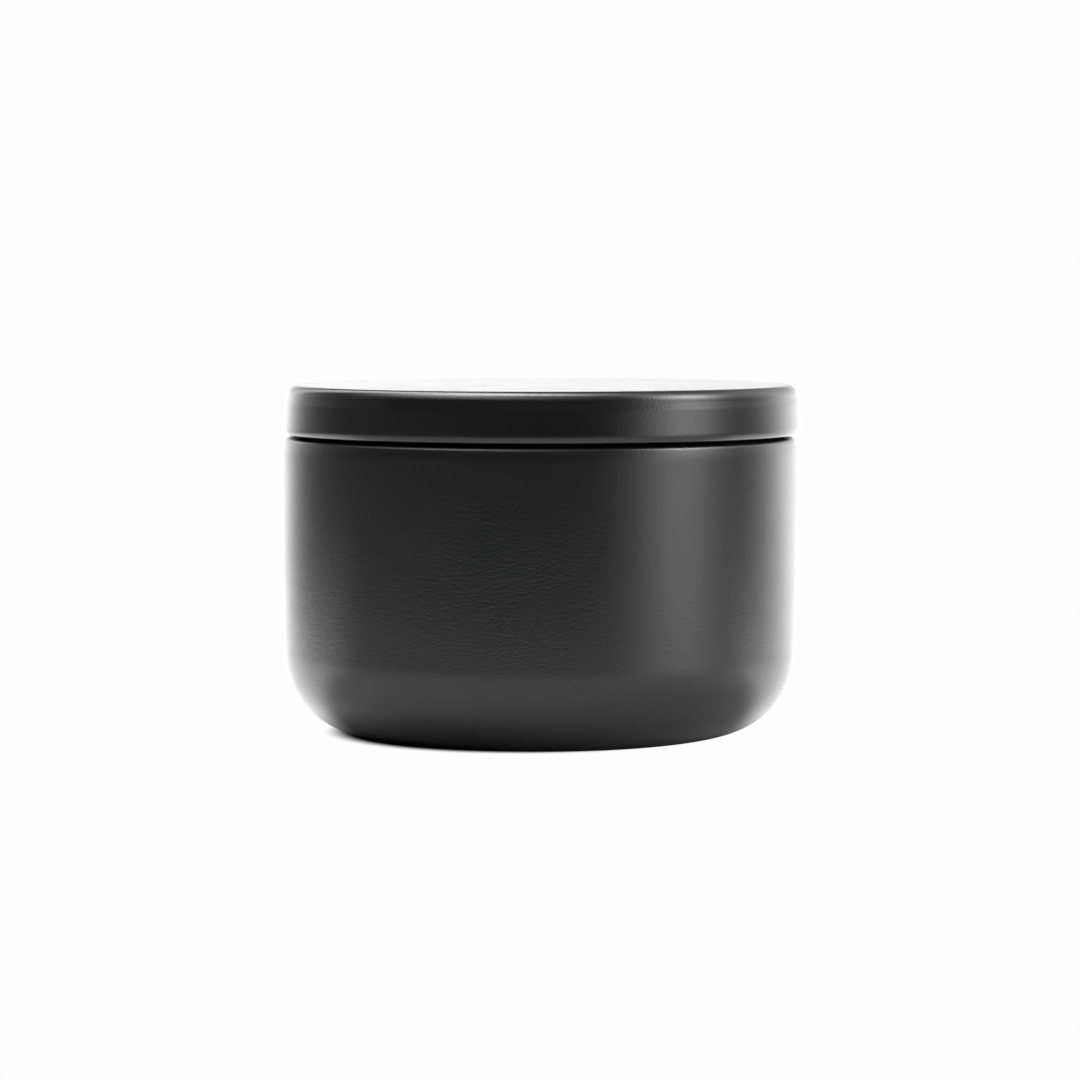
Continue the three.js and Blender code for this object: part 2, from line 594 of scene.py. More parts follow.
@dataclass(frozen=True)
class Tinplate:
    """Bright tinplate: a metal with fine draw marks and cloudy patches.

    Attributes:
        name: The material's name.
        roughness: Mean roughness.
        tone: Colour of the bright parts.
        marks: Scale of the draw marks' pattern along each axis; they run along the axis with a small one.
        mark_size: Width of the draw marks.
        mark_depth: Depth of the draw marks.
        cloud_size: Width of the cloudy patches.
        cloud_tone: Brightness of a patch, where 1 is as bright as the tone.
        uneven_gloss: How much the roughness changes with marks and patches.
    """

    name: str
    roughness: float = 0.3
    tone: tuple[float, float, float, float] = (0.63, 0.62, 0.6, 1.0)
    marks: tuple[float, float, float] = (1.0, 1.0, 0.03)
    mark_size: float = 0.35
    mark_depth: float = 0.0006
    cloud_size: float = 6.0
    cloud_tone: float = 0.86
    uneven_gloss: float = 0.08

    def make(self) -> bpy.types.Material:
        """Builds the material.

        Returns:
            The material.
        """
        material, shader = new_finish(self.name)
        place = shader.object_coordinates()
        marks = shader.grain(shader.stretched(place, self.marks), self.mark_size, detail=3.0, roughness=0.6)
        clouds = shader.grain(place, self.cloud_size, detail=4.0, roughness=0.55)
        darker = tuple(self.cloud_tone * part for part in self.tone[:3]) + (1.0,)
        uneven = (marks - 0.5) * self.uneven_gloss + (clouds - 0.5) * self.uneven_gloss
        surface(
            shader,
            {
                "Base Color": shader.blend(clouds, darker, self.tone),
                "Metallic": 1.0,
                "Roughness": self.roughness + uneven,
                "Normal": shader.bumped(marks, self.mark_depth),
            },
        )
        return material


@dataclass(frozen=True)
class SoyWax:
    """Poured soy wax: cream, soft in the light, with frosting patches and fine crystals.

    Attributes:
        name: The material's name.
        body: Colour of the clear wax.
        frost: Colour of the frosting.
        roughness: Mean roughness of the clear wax.
        frost_roughness: What the frosting adds to it.
        crystal_size: Width of the crystals.
        crystal_depth: Depth of the crystals.
        crystal_gloss: How much the roughness changes with them.
        crystal_mix: How much they break up the edge of the frosting.
        cloud_size: Width of the frosting's patches.
        frost_edges: Values of the patches' pattern between which the frosting sets in.
        softness: Share of the light that goes through the wax.
        light_reach: How far that light goes.
    """

    name: str = "soy_wax"
    body: tuple[float, float, float, float] = (0.7, 0.63, 0.49, 1.0)
    frost: tuple[float, float, float, float] = (0.78, 0.74, 0.65, 1.0)
    roughness: float = 0.42
    frost_roughness: float = 0.22
    crystal_size: float = 0.7
    crystal_depth: float = 0.012
    crystal_gloss: float = 0.12
    crystal_mix: float = 0.25
    cloud_size: float = 11.0
    frost_edges: tuple[float, float] = (0.46, 0.66)
    softness: float = 0.35
    light_reach: float = 3.0

    def make(self) -> bpy.types.Material:
        """Builds the material.

        Returns:
            The material.
        """
        material, shader = new_finish(self.name)
        place = shader.object_coordinates()
        crystals = shader.grain(place, self.crystal_size, detail=4.0, roughness=0.65)
        clouds = shader.grain(place, self.cloud_size, detail=5.0, roughness=0.6)
        frosting = shader.ease(clouds + (crystals - 0.5) * self.crystal_mix, *self.frost_edges)
        gloss = self.roughness + frosting * self.frost_roughness + (crystals - 0.5) * self.crystal_gloss
        surface(
            shader,
            {
                "Base Color": shader.blend(frosting, self.body, self.frost),
                "Roughness": gloss,
                "Subsurface Weight": self.softness,
                "Subsurface Radius": (1.0, 0.8, 0.5),
                "Subsurface Scale": self.light_reach * MM,
                "Normal": shader.bumped(crystals, self.crystal_depth),
            },
        )
        return material


@dataclass(frozen=True)
class WaxedCotton:
    """Cotton yarn with its fibres along it, stiffened with a little wax.

    Attributes:
        name: The material's name.
        light: Colour of the fibres.
        dark: Colour between them, a painted shade in the gaps.
        roughness: Mean roughness.
        uneven_gloss: How much the roughness changes with the fibres.
        fibre_size: Width of the fibres' pattern before it is stretched.
        fibre_stretch: Scale of the pattern round the yarn and along it.
        fibre_edges: Values of the pattern between which a gap turns into a fibre.
        fibre_depth: Depth of the fibres.
        sheen: Weight of the soft light at the yarn's edges.
    """

    name: str = "waxed_cotton"
    light: tuple[float, float, float, float] = (0.86, 0.83, 0.75, 1.0)
    dark: tuple[float, float, float, float] = (0.62, 0.57, 0.47, 1.0)
    roughness: float = 0.78
    uneven_gloss: float = 0.2
    fibre_size: float = 0.35
    fibre_stretch: tuple[float, float] = (6.0, 0.9)
    fibre_edges: tuple[float, float] = (0.3, 0.7)
    fibre_depth: float = 0.03
    sheen: float = 0.25

    def make(self) -> bpy.types.Material:
        """Builds the material.

        Returns:
            The material.
        """
        material, shader = new_finish(self.name)
        scale = (self.fibre_stretch[0] * MM, self.fibre_stretch[1] * MM, 0.0)
        stretched = shader.stretched(shader.pattern(), scale)
        fibres = shader.grain(stretched, self.fibre_size, detail=3.0, roughness=0.6)
        # painted shade: the gaps between fibres, which the bump also lowers, take the darker colour
        tone = shader.blend(shader.ease(fibres, *self.fibre_edges), self.dark, self.light)
        surface(
            shader,
            {
                "Base Color": tone,
                "Roughness": self.roughness + (fibres - 0.5) * self.uneven_gloss,
                "Sheen Weight": self.sheen,
                "Normal": shader.bumped(fibres, self.fibre_depth),
            },
        )
        return material


@dataclass(frozen=True)
class StickerFoam:
    """White closed-cell foam whose cut cells show as small pits, with painted shade in each cell's middle.

    Attributes:
        name: The material's name.
        tone: Brightness of the foam.
        cell: Width of a cell.
        painted_pit_shade: Brightness in a cell's middle, where 1 is as bright as the tone.
        pit_depth: Depth of a cell's middle.
        pit_edges: Distances from a cell's middle, in cells, between which it rises to the surface.
        roughness: Mean roughness.
        uneven_gloss: How much the roughness changes across a cell.
    """

    name: str = "sticker_foam"
    tone: float = 0.82
    cell: float = 0.35
    painted_pit_shade: float = 0.8
    pit_depth: float = 0.05
    pit_edges: tuple[float, float] = (0.15, 0.55)
    roughness: float = 0.85
    uneven_gloss: float = 0.1

    def make(self) -> bpy.types.Material:
        """Builds the material.

        Returns:
            The material.
        """
        material, shader = new_finish(self.name)
        place = shader.object_coordinates()
        scale = 1 / (self.cell * MM)
        cells = shader.node("ShaderNodeTexVoronoi", {"feature": "F1"}, {"Vector": place, "Scale": scale})
        raised = shader.ease(cells, *self.pit_edges)
        surface(
            shader,
            {
                # painted shade: each cell's pit is darker in its middle, where the bump is lowest
                "Base Color": shader.blend(raised, grey(self.tone * self.painted_pit_shade), grey(self.tone)),
                "Roughness": self.roughness + (raised - 0.5) * self.uneven_gloss,
                "Normal": shader.bumped(raised, self.pit_depth),
            },
        )
        return material


# ---- Pieces -------------------------------------------------------------------------------------


def node_size(node: str) -> tuple[float, float, float]:
    """Radius, lowest and highest point of a round CAD piece, in millimetres."""
    low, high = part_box(node)
    return (high.x - low.x) / 2 / MM, low.z / MM, high.z / MM


@dataclass
class TinBody:
    """The drawn tin: one sheet from the base panel to the curled rim.

    Attributes:
        radius: Outside of the wall.
        rim_top: Highest point of the curled rim.
        sheet: Thickness of the tinplate.
        corner_radius: Outside radius between base and wall.
        panel_radius: Radius of the recessed panel in the base.
        panel_rise: How far the panel stands above the standing ring.
        panel_ramp: Width of the slope between them.
        ramp_rows: Number of rows across the slope.
        shoulder_top: Height of the step that the neck rises from.
        shoulder_radius: Radius of the shoulder's tight corner.
        lean: Degrees that the wall leans in where that corner starts.
        lean_radius: Large radius of the lean.
        neck_radius: Outside of the neck.
        neck_fillet: Radius between the step and the neck.
        rim_curl: Outside radius of the rim's inward curl.
    """

    radius: float
    rim_top: float
    sheet: float = 0.28
    corner_radius: float = 12.4
    panel_radius: float = 22.4
    panel_rise: float = 0.8
    panel_ramp: float = 1.2
    ramp_rows: int = 13
    shoulder_top: float = 44.5
    shoulder_radius: float = 0.85
    lean: float = 12.0
    lean_radius: float = 7.7
    neck_radius: float = 36.7
    neck_fillet: float = 0.7
    rim_curl: float = 0.9

    def base(self) -> np.ndarray:
        """The recessed panel, its slope and the standing ring.

        Formula of the slope: height = rise * (1 + cos(pi * s)) / 2 across its width.

        Returns:
            Points from the axis to the corner.
        """
        share = np.linspace(0, 1, self.ramp_rows)
        fall = self.panel_rise * (1 + np.cos(np.pi * share)) / 2
        ring = self.panel_radius + self.panel_ramp
        return joined(
            straight((0, self.panel_rise), (self.panel_radius, self.panel_rise), 14),
            np.stack([self.panel_radius + share * self.panel_ramp, fall], axis=1),
            straight((ring, 0), (self.radius - self.corner_radius, 0), 5),
        )

    def shoulder_centres(self) -> tuple[tuple[float, float], tuple[float, float]]:
        """Centres of the wall's slow lean inwards and of the tight corner that it runs into.

        Returns:
            Radius and height of each.
        """
        angle = math.radians(self.lean)
        between = self.lean_radius - self.shoulder_radius
        height = self.shoulder_top - self.shoulder_radius
        middle = self.radius - self.lean_radius
        return (middle, height - between * math.sin(angle)), (middle + between * math.cos(angle), height)

    def painted_line(self) -> np.ndarray:
        """The tin's outer line.

        Returns:
            Points from the middle of the base to the cut edge inside the rim's curl.
        """
        corner = (self.radius - self.corner_radius, self.corner_radius)
        lean, shoulder = self.shoulder_centres()
        fillet = (self.neck_radius + self.neck_fillet, self.shoulder_top + self.neck_fillet)
        curl = (self.neck_radius - self.rim_curl, self.rim_top - self.rim_curl)
        return joined(
            self.base(),
            arc(corner, (self.corner_radius,) * 2, 270, 360, 40),
            straight((self.radius, corner[1]), (self.radius, lean[1]), 14),
            arc(lean, (self.lean_radius,) * 2, 0, self.lean, 10),
            arc(shoulder, (self.shoulder_radius,) * 2, self.lean, 90, 16),
            straight((shoulder[0], self.shoulder_top), (fillet[0], self.shoulder_top), 2),
            arc(fillet, (self.neck_fillet,) * 2, 270, 180, 8),
            straight((self.neck_radius, fillet[1]), (self.neck_radius, curl[1]), 8),
            arc(curl, (self.rim_curl,) * 2, 0, 270, 36),
        )

    def build(self, paint: bpy.types.Material, bare: bpy.types.Material) -> bpy.types.Object:
        """Makes the tin.

        Args:
            paint: Finish of the outside.
            bare: Finish of the inside and of the cut edge.

        Returns:
            The piece.
        """
        skin = sheet_skin(self.painted_line(), self.sheet, Side.LEFT)
        piece = make_piece("tin_shell", [skin], [paint, bare])
        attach(piece, "tin")
        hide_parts("tin_body")
        return piece

    def inside_line(self) -> np.ndarray:
        """The inner face from the middle of the base up to where the wall starts to lean."""
        line = shifted(self.painted_line(), -self.sheet)
        return line[line[:, 1] < self.shoulder_centres()[0][1]]


@dataclass
class Lid:
    """The drawn lid: one sheet with a flat top, a skirt that widens downwards and a hem curled inwards.

    Attributes:
        radius: Outside of the skirt above the hem.
        bottom: Lowest point of the hem.
        top: The flat top.
        sheet: Thickness of the tinplate.
        taper: How much narrower the skirt is at its top.
        corner_radius: Radius between top and skirt.
        hem_width: How far the hem draws in below the skirt.
        hem_height: Height over which it draws in.
        hem_flat: Width of its flat underside.
        hem_curl: Outside radius of the curl that closes it inside.
        draw_line_drop: How far the draw line lies below the top.
        draw_line_depth: Depth of the draw line's step.
        draw_line_width: Height of the step.
        upper_lean: How much the skirt leans in between the draw line and the corner.
        play: How far the loose lid sits to the right of the tin's axis.
    """

    radius: float
    bottom: float
    top: float
    sheet: float = 0.28
    taper: float = 0.2
    corner_radius: float = 1.6
    hem_width: float = 0.55
    hem_height: float = 1.15
    hem_flat: float = 0.3
    hem_curl: float = 0.7
    draw_line_drop: float = 2.57
    draw_line_depth: float = 0.024
    draw_line_width: float = 0.3
    upper_lean: float = 0.14
    play: float = 0.3

    def painted_line(self) -> np.ndarray:
        """The lid's outer line.

        Returns:
            Points from the middle of its top to the cut edge inside the hem's curl.
        """
        corner = (self.radius - self.taper - self.corner_radius, self.top - self.corner_radius)
        hem = (self.radius - self.hem_width, self.bottom + self.hem_height)
        curl = (hem[0] - self.hem_flat, self.bottom + self.hem_curl)
        tilt = math.degrees(math.atan2(self.taper, corner[1] - hem[1]))
        round_top = arc(corner, (self.corner_radius,) * 2, 90, tilt, 24)
        round_hem = arc(hem, (self.hem_width, self.hem_height), 2 * tilt, -90, 30)
        line = joined(
            straight((0, self.top), (corner[0], self.top), 16),
            round_top,
            straight(tuple(round_top[-1]), tuple(round_hem[0]), 40),
            round_hem,
            straight((hem[0], self.bottom), (curl[0], self.bottom), 3),
            arc(curl, (self.hem_curl,) * 2, 270, 90, 26),
        )
        return self.with_draw_line(line, hem[1])

    def with_draw_line(self, line: np.ndarray, lowest: float) -> np.ndarray:
        """Draws the top of the skirt in a little, which leaves a faint step round it.

        Formula: the radius falls by depth * (3 * s^2 - 2 * s^3), with s from 0 to 1 across the step, and by
        lean * t above it, with t from 0 at the step to 1 at the rounded corner.

        Args:
            line: The outer line.
            lowest: Height below which nothing moves.

        Returns:
            The line with its step.
        """
        above = line[:, 1] - (self.top - self.draw_line_drop)
        share = np.clip(above / self.draw_line_width + 0.5, 0, 1)
        step = self.draw_line_depth * share * share * (3 - 2 * share)
        lean = self.upper_lean * np.clip(above / (self.draw_line_drop - self.corner_radius), 0, 1)
        moved = (line[:, 1] > lowest) & (line[:, 0] > 0)
        line = line.copy()
        line[:, 0] -= np.where(moved, step + lean, 0)
        return line

    def build(self, paint: bpy.types.Material, bare: bpy.types.Material) -> bpy.types.Object:
        """Makes the lid.

        Args:
            paint: Finish of the outside.
            bare: Finish of the inside and of the cut edge.

        Returns:
            The piece.
        """
        skin = sheet_skin(self.painted_line(), self.sheet, Side.RIGHT)
        skin.points[..., 0] += self.play
        piece = make_piece("lid_shell", [skin], [paint, bare])
        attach(piece, "lid")
        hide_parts("lid")
        return piece


@dataclass
class Sustainer:
    """The stamped disc whose crimped neck grips the wick.

    Attributes:
        radius: Outside of the disc.
        bottom: Underside of the disc.
        top: Top of the neck.
        sheet: Thickness of the metal.
        neck_radius: Outside of the neck.
        fillet: Radius between disc and neck.
        crimp_height: How far the crimps' middle lies above the disc's underside.
        crimp_depth: How far they press the neck in.
        crimp_reach: Height from their middle to where they have fallen to 1 / e.
        crimps: Number of crimps round the neck.
    """

    radius: float
    bottom: float
    top: float
    sheet: float = 0.3
    neck_radius: float = 1.7
    fillet: float = 0.45
    crimp_height: float = 3.4
    crimp_depth: float = 0.26
    crimp_reach: float = 1.1
    crimps: int = 4

    def outline(self) -> np.ndarray:
        """The closed outline of disc and neck, before the crimp.

        Returns:
            Points in the (radius, height) plane.
        """
        disc_top = self.bottom + self.sheet
        bore = self.neck_radius - self.sheet
        foot = (self.neck_radius + self.fillet, disc_top + self.fillet)
        edge = self.radius - self.sheet / 2
        lip_height = self.top - self.sheet / 2
        upper = joined(
            straight((edge, disc_top), (foot[0], disc_top), 12),
            arc(foot, (self.fillet,) * 2, 270, 180, 8),
            straight((self.neck_radius, foot[1]), (self.neck_radius, lip_height), 24),
        )
        lower = joined(
            straight((bore, lip_height), (bore, foot[1]), 24),
            arc(foot, (self.fillet + self.sheet,) * 2, 180, 270, 8),
            straight((foot[0], self.bottom), (edge, self.bottom), 12),
        )
        lip = round_tip(upper[-1], lower[0])
        rim = round_tip(lower[-1], upper[0])
        return np.concatenate([lower, rim, upper, lip])

    def crimped(self, outline: np.ndarray, columns: int) -> np.ndarray:
        """Squeezes the neck inwards at even places round it.

        Formula: the radius falls by depth * cos(crimps / 2 * angle)^2 * exp(-(height from the crimps'
        middle / reach)^2).

        Args:
            outline: The closed outline.
            columns: Number of faces round the axis.

        Returns:
            An array of (points, columns, 2).
        """
        grid = np.repeat(outline[:, None, :], columns, axis=1)
        from_crimp = (grid[..., 1] - (self.bottom + self.crimp_height)) / self.crimp_reach
        bell = np.exp(-from_crimp * from_crimp)
        squeeze = np.cos(self.crimps / 2 * turn_angles(columns)) ** 2
        near_neck = grid[..., 0] < self.neck_radius + TINY
        grid[..., 0] -= np.where(near_neck, self.crimp_depth * bell * squeeze[None, :], 0)
        return grid

    def build(self, bare: bpy.types.Material) -> bpy.types.Object:
        """Makes the sustainer.

        Args:
            bare: Its finish.

        Returns:
            The piece.
        """
        outline = self.outline()
        skin = revolved(self.crimped(outline, ROUND_SMALL), np.zeros(len(outline), int), ring=True)
        piece = make_piece("sustainer_disc", [skin], [bare])
        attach(piece, "tin")
        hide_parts("wick_sustainer")
        return piece


@dataclass
class Sticker:
    """The foam disc that holds the sustainer to the base.

    Attributes:
        radius: Outside of the disc.
        bottom: Its underside.
        top: Its upper side.
        edge: Radius of its rounded edges.
    """

    radius: float
    bottom: float
    top: float
    edge: float = 0.2

    def build(self, foam: bpy.types.Material) -> bpy.types.Object:
        """Makes the sticker.

        Args:
            foam: Its finish.

        Returns:
            The piece.
        """
        rim = self.radius - self.edge
        outline = joined(
            straight((0, self.bottom), (rim, self.bottom), 12),
            arc((rim, self.bottom + self.edge), (self.edge,) * 2, 270, 360, 6),
            straight((self.radius, self.bottom + self.edge), (self.radius, self.top - self.edge), 4),
            arc((rim, self.top - self.edge), (self.edge,) * 2, 0, 90, 6),
            straight((rim, self.top), (0, self.top), 12),
        )
        skin = revolved(outline, np.zeros(len(outline), int), columns=ROUND_SMALL)
        piece = make_piece("foam_sticker", [skin], [foam])
        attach(piece, "tin")
        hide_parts("wick_sticker")
        return piece


@dataclass
class Wick:
    """A round braid: yarns wound both ways about a core, over one and under one.

    Attributes:
        bottom: Lower end, in the sustainer.
        top: Trimmed end.
        wax_top: Where it comes out of the wax.
        ring_radius: Mean distance of the yarns from the wick's middle.
        weave: How far a yarn moves out and in as it passes over and under the others.
        yarn_width: Half width of a yarn.
        yarn_thickness: Half thickness of a yarn.
        core_radius: Radius of the core.
        core_drop: How far the core ends below the tip.
        core_rows: Number of rows in the core's mesh.
        pitch: Height of one turn of a yarn.
        yarns_each_way: Number of yarns in each direction of winding.
        fray: How far the yarns spread at the tip.
        fray_height: Height over which they spread.
        uneven_trim: How far the lowest yarn end may lie below the tip.
        lean: How far the tip leans to the right.
        lean_forward: The share of that lean that the tip also leans to the front.
        sides: Number of faces round a yarn.
        step: Distance between the rows of a yarn's mesh.
    """

    bottom: float
    top: float
    wax_top: float
    ring_radius: float = 0.71
    weave: float = 0.13
    yarn_width: float = 0.39
    yarn_thickness: float = 0.2
    core_radius: float = 0.55
    core_drop: float = 0.35
    core_rows: int = 60
    pitch: float = 6.4
    yarns_each_way: int = 4
    fray: float = 0.12
    fray_height: float = 1.0
    uneven_trim: float = 0.3
    lean: float = 0.55
    lean_forward: float = 0.4
    sides: int = 12
    step: float = 0.2

    def middle(self, height: np.ndarray) -> np.ndarray:
        """The wick's middle line, upright in the wax and leaning a little above it.

        Formula: x = lean * s^2 and y = -lean_forward * x, with s the share of the way from wax to tip.

        Args:
            height: Heights along the wick.

        Returns:
            An array of (heights, 3) points.
        """
        right = self.lean * np.clip((height - self.wax_top) / (self.top - self.wax_top), 0, None) ** 2
        return np.stack([right, -self.lean_forward * right, height], axis=-1)

    def yarn(self, number: int, way: int, top: float) -> Skin:
        """One yarn as a flattened tube with closed ends.

        Formula: the yarn runs at angle a = way * 2 * pi * height / pitch + its start, at the radius
        ring + way * weave * cos(n * a), with n yarns each way, so it passes over one and under one. Near
        the tip the radius grows by fray * f^2, with f from 0 to 1 over the fraying height.

        Args:
            number: Which yarn of its direction.
            way: 1 for one direction of winding and -1 for the other.
            top: Height of its trimmed end.

        Returns:
            The tube.
        """
        height = np.linspace(self.bottom, top, int((top - self.bottom) / self.step))
        angle = way * 2 * np.pi * height / self.pitch + 2 * np.pi * number / self.yarns_each_way
        spoke = np.stack([np.cos(angle), np.sin(angle), np.zeros_like(angle)], axis=1)
        spread = self.fray * np.clip((height - self.top) / self.fray_height + 1, 0, 1) ** 2
        radius = self.ring_radius + way * self.weave * np.cos(self.yarns_each_way * angle) + spread
        line = self.middle(height) + radius[:, None] * spoke
        return tube(line, spoke, (self.yarn_thickness, self.yarn_width), self.sides)

    def core(self) -> Skin:
        """The core inside the braid.

        Returns:
            A plain tube.
        """
        height = np.linspace(self.bottom, self.top - self.core_drop, self.core_rows)
        spoke = np.tile([1.0, 0.0, 0.0], (len(height), 1))
        return tube(self.middle(height), spoke, (self.core_radius,) * 2, self.sides)

    def build(self, cotton: bpy.types.Material, random: np.random.Generator) -> bpy.types.Object:
        """Makes the wick.

        Args:
            cotton: Its finish.
            random: Source of the yarn ends' unevenness.

        Returns:
            The piece.
        """
        trim = random.uniform(0.0, self.uneven_trim, 2 * self.yarns_each_way)
        skins = [self.core()]
        for index in range(2 * self.yarns_each_way):
            way = 1 if index % 2 else -1
            skins.append(self.yarn(index // 2, way, self.top - trim[index]))
        piece = make_piece("braided_wick", skins, [cotton])
        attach(piece, "tin")
        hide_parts("wick")
        return piece


CAP_WIDTHS = (0.0, 0.55, 0.85)  # share of a tube's width in each row of its closed end
CAP_REACHES = (0.1, 0.08, 0.05)  # how far each of these rows lies past the end of its line


def tube(line: np.ndarray, spoke: np.ndarray, radii: tuple[float, float], sides: int) -> Skin:
    """An oval tube along a line, drawn together at both ends.

    Formula: line + radii[0] * cos(angle) * n + radii[1] * sin(angle) * b, where n is the spoke made
    square to the line, and b is square to both.

    Args:
        line: An array of (points, 3) positions.
        spoke: The direction of the first radius at each point.
        radii: Half axes along the spoke and across it.
        sides: Number of faces round the tube.

    Returns:
        The closed surface.
    """
    along = np.gradient(line, axis=0)
    along /= np.linalg.norm(along, axis=1)[:, None]
    normal = spoke - np.sum(spoke * along, axis=1)[:, None] * along
    normal /= np.linalg.norm(normal, axis=1)[:, None]
    across = np.cross(along, normal)
    width = np.concatenate([CAP_WIDTHS, np.ones(len(line)), CAP_WIDTHS[::-1]])
    past = np.concatenate([np.negative(CAP_REACHES), np.zeros(len(line)), CAP_REACHES[::-1]])
    rows = np.pad(np.arange(len(line)), len(CAP_WIDTHS), mode="edge")
    angle = turn_angles(sides)
    section = (
        radii[0] * np.cos(angle)[None, :, None] * normal[rows][:, None, :]
        + radii[1] * np.sin(angle)[None, :, None] * across[rows][:, None, :]
    )
    middle = line[rows] + past[:, None] * along[rows]
    points = middle[:, None, :] + width[:, None, None] * section
    length = np.concatenate([[0], np.cumsum(np.linalg.norm(np.diff(line, axis=0), axis=1))])[rows]
    turn = np.linspace(0, 2 * np.pi * radii[1], sides + 1)
    uv = np.stack(np.broadcast_arrays(turn[None, :], length[:, None]), axis=-1)
    return Skin(points, np.zeros(len(rows), int), uv=uv)


@dataclass
class Wax:
    """The cast candle, set round the wick with a low meniscus at the wick and at the wall.

    Attributes:
        tin: The tin that it was poured into.
        top: Fill level.
        sustainer: The disc and neck at its foot.
        sticker: The foam under the disc.
        skin_gap: Clearance to the tin, the sustainer and the sticker.
        wick_bore: Radius of the hollow round the wick.
        wall_rise: How far the wax stands higher at the wall.
        wall_reach: Distance from the wall at which that rise has fallen to 1 / e.
        wick_rise: How far it stands higher at the wick.
        wick_reach: Distance from the wick at which that rise has fallen to 1 / e.
        dish: Depth of the shallow dish between them.
        wave: Height of the slowest wave on its surface.
        waves: Number of waves.
        calm_wick: Distance from the wick over which the waves set in.
        calm_wall: Distance from the wall over which they set in.
        wall_stop: How far below the fill level the outline leaves the wall for the surface.
    """

    tin: TinBody
    top: float
    sustainer: Sustainer
    sticker: Sticker
    skin_gap: float = 0.04
    wick_bore: float = 1.12
    wall_rise: float = 0.55
    wall_reach: float = 0.8
    wick_rise: float = 0.75
    wick_reach: float = 0.9
    dish: float = 0.22
    wave: float = 0.035
    waves: int = 4
    calm_wick: float = 4.0
    calm_wall: float = 3.0
    wall_stop: float = 1.0

    def bore(self) -> np.ndarray:
        """The stepped hollow round wick, neck, disc and sticker.

        Returns:
            Points from the top down.
        """
        gap = self.skin_gap
        neck = self.sustainer.neck_radius + self.sustainer.fillet + gap
        disc = self.sustainer.radius + gap
        disc_top = self.sustainer.bottom + self.sustainer.sheet + gap
        shelf = disc_top + self.sustainer.fillet
        return np.array(
            [
                (self.wick_bore, self.sustainer.top + gap),
                (neck, self.sustainer.top + gap),
                (neck, shelf),
                (neck, disc_top),
                (disc, disc_top),
                (disc, self.sticker.bottom),
            ]
        )

    def surface_height(
        self, radius: np.ndarray, angle: np.ndarray, random: np.random.Generator
    ) -> np.ndarray:
        """Height of the set surface.

        Formula: the fill level, plus rise * exp(-distance / reach) at the wall and at the wick, minus
        dish * sin(pi * s)^2, plus wave / n * cos(n * angle + phase) * sin(n * pi * s + phase) for the waves
        of order n, where s runs from 0 at the axis to 1 at the wall.

        Args:
            radius: Distances from the axis.
            angle: Angles round it.
            random: Source of the phases.

        Returns:
            The heights.
        """
        wall = self.tin.radius - self.tin.sheet
        from_wall, from_wick = wall - radius, radius - self.wick_bore
        rise = self.wall_rise * np.exp(-from_wall / self.wall_reach)
        rise = rise + self.wick_rise * np.exp(-from_wick / self.wick_reach)
        share = np.clip(radius / wall, 0, 1)
        ripple = np.zeros(np.broadcast(radius, angle).shape)
        for order in range(1, self.waves + 1):
            phase = random.uniform(0, 2 * np.pi, 2)
            across = np.sin(np.pi * share * order + phase[1])
            ripple = ripple + self.wave / order * np.cos(order * angle + phase[0]) * across
        calm = np.clip(from_wick / self.calm_wick, 0, 1) * np.clip(from_wall / self.calm_wall, 0, 1)
        return self.top + rise - self.dish * np.sin(np.pi * share) ** 2 + ripple * calm

    def build(self, wax: bpy.types.Material, random: np.random.Generator) -> bpy.types.Object:
        """Makes the candle's wax.

        Args:
            wax: Its finish.
            random: Source of the surface's unevenness.

        Returns:
            The piece.
        """
        inside = shifted(self.tin.inside_line(), -self.skin_gap)
        clear = self.sustainer.radius + self.skin_gap
        floor = inside[(inside[:, 0] > clear) & (inside[:, 1] < self.top - self.wall_stop)]
        floor = np.concatenate([[(clear, floor[0, 1])], floor])
        edge = self.tin.radius - self.tin.sheet - self.skin_gap
        across = straight((edge, self.top), (self.wick_bore, self.top), 90)
        outline = joined(floor, across, self.bore())
        grid = np.repeat(outline[:, None, :], ROUND, axis=1)
        angle = turn_angles(ROUND)[None, :]
        rows = slice(len(floor), len(floor) + len(across))
        grid[rows, :, 1] = self.surface_height(grid[rows, :, 0], angle, random)
        skin = revolved(grid, np.zeros(len(outline), int), ring=True)
        piece = make_piece("poured_wax", [skin], [wax])
        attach(piece, "tin")
        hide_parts("wax")
        return piece


# ---- Studio -------------------------------------------------------------------------------------


